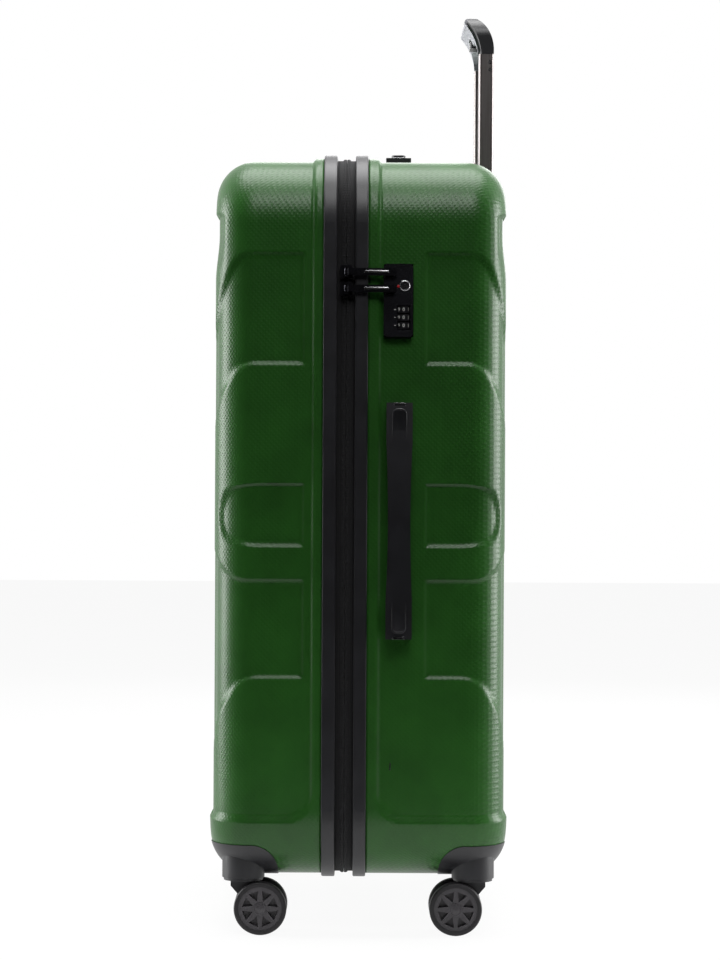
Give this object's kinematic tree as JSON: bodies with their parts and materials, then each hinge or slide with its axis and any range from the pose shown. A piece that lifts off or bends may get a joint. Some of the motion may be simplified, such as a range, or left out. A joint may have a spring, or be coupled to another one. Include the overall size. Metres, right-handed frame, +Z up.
{
  "type": "hard shell suitcase",
  "caption": "Tall hard shell suitcase with a zipped lid, side combination lock, pull-out trolley, side and top carry handles, and swivelling casters.",
  "frame": {"origin": "on the floor under the middle of the case, trolley partly raised", "axes": "+X to the lock side, -X to the hinge side, -Y to the lid, +Y to the trolley half, +Z up"},
  "size_m": [0.551, 0.2884, 0.917],
  "materials": {
    "shell": "semi-gloss moulded, fine texture",
    "frame_plastic": "satin black",
    "zip_tape": "woven tape with moulded coil",
    "lining": "woven polyester",
    "handle_plastic": "satin dark grey",
    "palm_insert": "light grey soft-touch",
    "tube_aluminium": "grey anodised",
    "steel": "bright",
    "lock_plastic": "black",
    "dial_plastic": "black with white numbers",
    "zip_metal": "dark lacquered zinc",
    "tyre": "matt black",
    "hub_plastic": "satin dark grey"
  },
  "bodies": {
    "back_half": {"back_shell": "shell", "back_frame_band": "frame_plastic", "back_zip_tape": "zip_tape", "back_lining": "lining", "hinge_web": "lining", "side_handle_bezels": "frame_plastic", "top_handle_bezels": "frame_plastic", "handle_covers": "frame_plastic", "trolley_fixed_tubes": "tube_aluminium", "trolley_guides": "frame_plastic", "trolley_foot_plate": "steel", "lock_case": "lock_plastic", "lock_dial_shaft": "steel", "back_caster_housings": "frame_plastic", "back_caster_pins": "steel", "back_side_feet": "frame_plastic"},
    "lid": {"front_shell": "shell", "front_frame_band": "frame_plastic", "front_zip_tape": "zip_tape", "front_lining": "lining", "front_caster_housings": "frame_plastic", "front_caster_pins": "steel", "front_side_feet": "frame_plastic"},
    "side_handle": {"side_handle_grip": "handle_plastic", "side_handle_stops": "steel"},
    "top_handle": {"top_handle_grip": "handle_plastic", "top_handle_stops": "steel"},
    "trolley_middle": {"trolley_middle_tubes": "tube_aluminium"},
    "trolley_upper": {"trolley_upper_tubes": "tube_aluminium", "trolley_grip": "handle_plastic", "trolley_grip_insert": "palm_insert", "trolley_rivets": "steel"},
    "grip_button": {"trolley_button": "handle_plastic", "trolley_release_rods": "steel"},
    "key_plug": {"lock_key_plug": "steel"},
    "dial_1": {"lock_dial_1": "dial_plastic"},
    "dial_2": {"lock_dial_2": "dial_plastic"},
    "dial_3": {"lock_dial_3": "dial_plastic"},
    "zip_slider_upper_body": {"zip_slider_upper": "zip_metal"},
    "zip_pull_upper_body": {"zip_pull_upper": "zip_metal"},
    "zip_slider_lower_body": {"zip_slider_lower": "zip_metal"},
    "zip_pull_lower_body": {"zip_pull_lower": "zip_metal"},
    "swivel_front_lock": {"caster_fork_front_lock": "frame_plastic"},
    "wheels_front_lock": {"caster_axle_front_lock": "steel", "caster_tyres_front_lock": "tyre", "caster_hubs_front_lock": "hub_plastic"},
    "swivel_front_hinge": {"caster_fork_front_hinge": "frame_plastic"},
    "wheels_front_hinge": {"caster_axle_front_hinge": "steel", "caster_tyres_front_hinge": "tyre", "caster_hubs_front_hinge": "hub_plastic"},
    "swivel_back_lock": {"caster_fork_back_lock": "frame_plastic"},
    "wheels_back_lock": {"caster_axle_back_lock": "steel", "caster_tyres_back_lock": "tyre", "caster_hubs_back_lock": "hub_plastic"},
    "swivel_back_hinge": {"caster_fork_back_hinge": "frame_plastic"},
    "wheels_back_hinge": {"caster_axle_back_hinge": "steel", "caster_tyres_back_hinge": "tyre", "caster_hubs_back_hinge": "hub_plastic"}
  },
  "joints": [
    {"name": "lid_hinge", "type": "hinge", "parent": "back_half", "child": "lid", "pos_m": [-0.262, -0.014, 0.4], "axis": [0, 0, -1], "range_deg": [0, 150]},
    {"name": "side_handle_lift", "type": "slide", "parent": "back_half", "child": "side_handle", "axis": [1, 0, 0], "range_m": [0, 0.014], "stiffness_N_per_m": 200},
    {"name": "top_handle_lift", "type": "slide", "parent": "back_half", "child": "top_handle", "axis": [0, 0, 1], "range_m": [0, 0.014], "stiffness_N_per_m": 200},
    {"name": "trolley_lower_slide", "type": "slide", "parent": "back_half", "child": "trolley_middle", "axis": [0, 0, 1], "range_m": [0, 0.15]},
    {"name": "trolley_upper_slide", "type": "slide", "parent": "trolley_middle", "child": "trolley_upper", "axis": [0, 0, 1], "range_m": [-0.115, 0.035]},
    {"name": "grip_button_press", "type": "slide", "parent": "trolley_upper", "child": "grip_button", "axis": [0, 0, 1], "range_m": [0, 0.003], "stiffness_N_per_m": 900},
    {"name": "key_turn", "type": "hinge", "parent": "back_half", "child": "key_plug", "pos_m": [0.26, 0.042, 0.626], "axis": [1, 0, 0], "range_deg": [0, 90]},
    {"name": "dial_1_turn", "type": "hinge", "parent": "back_half", "child": "dial_1", "pos_m": [0.2544, 0.041, 0.588], "axis": [0, 0, 1], "continuous": true},
    {"name": "dial_2_turn", "type": "hinge", "parent": "back_half", "child": "dial_2", "pos_m": [0.2544, 0.041, 0.5956], "axis": [0, 0, 1], "continuous": true},
    {"name": "dial_3_turn", "type": "hinge", "parent": "back_half", "child": "dial_3", "pos_m": [0.2544, 0.041, 0.6032], "axis": [0, 0, 1], "continuous": true},
    {"name": "zip_upper_run", "type": "slide", "parent": "back_half", "child": "zip_slider_upper_body", "axis": [0, 0, 1], "range_m": [0, 0.035]},
    {"name": "zip_upper_pull_swing", "type": "hinge", "parent": "zip_slider_upper_body", "child": "zip_pull_upper_body", "pos_m": [0.2655, -0.014, 0.639], "axis": [0, 0, -1], "range_deg": [0, 170]},
    {"name": "zip_lower_run", "type": "slide", "parent": "back_half", "child": "zip_slider_lower_body", "axis": [0, 0, 1], "range_m": [-0.085, 0]},
    {"name": "zip_lower_pull_swing", "type": "hinge", "parent": "zip_slider_lower_body", "child": "zip_pull_lower_body", "pos_m": [0.2655, -0.014, 0.623], "axis": [0, 0, -1], "range_deg": [0, 170]},
    {"name": "swivel_front_lock_turn", "type": "hinge", "parent": "lid", "child": "swivel_front_lock", "pos_m": [0.216, -0.1115, 0.056], "axis": [0, 0, 1], "continuous": true},
    {"name": "wheels_front_lock_roll", "type": "hinge", "parent": "swivel_front_lock", "child": "wheels_front_lock", "pos_m": [0.216, -0.0945, 0.0255], "axis": [1, 0, 0], "continuous": true},
    {"name": "swivel_front_hinge_turn", "type": "hinge", "parent": "lid", "child": "swivel_front_hinge", "pos_m": [-0.216, -0.1115, 0.056], "axis": [0, 0, 1], "continuous": true},
    {"name": "wheels_front_hinge_roll", "type": "hinge", "parent": "swivel_front_hinge", "child": "wheels_front_hinge", "pos_m": [-0.216, -0.0945, 0.0255], "axis": [1, 0, 0], "continuous": true},
    {"name": "swivel_back_lock_turn", "type": "hinge", "parent": "back_half", "child": "swivel_back_lock", "pos_m": [0.216, 0.1115, 0.056], "axis": [0, 0, 1], "continuous": true},
    {"name": "wheels_back_lock_roll", "type": "hinge", "parent": "swivel_back_lock", "child": "wheels_back_lock", "pos_m": [0.216, 0.0945, 0.0255], "axis": [1, 0, 0], "continuous": true},
    {"name": "swivel_back_hinge_turn", "type": "hinge", "parent": "back_half", "child": "swivel_back_hinge", "pos_m": [-0.216, 0.1115, 0.056], "axis": [0, 0, 1], "continuous": true},
    {"name": "wheels_back_hinge_roll", "type": "hinge", "parent": "swivel_back_hinge", "child": "wheels_back_hinge", "pos_m": [-0.216, 0.0945, 0.0255], "axis": [1, 0, 0], "continuous": true}
  ]
}
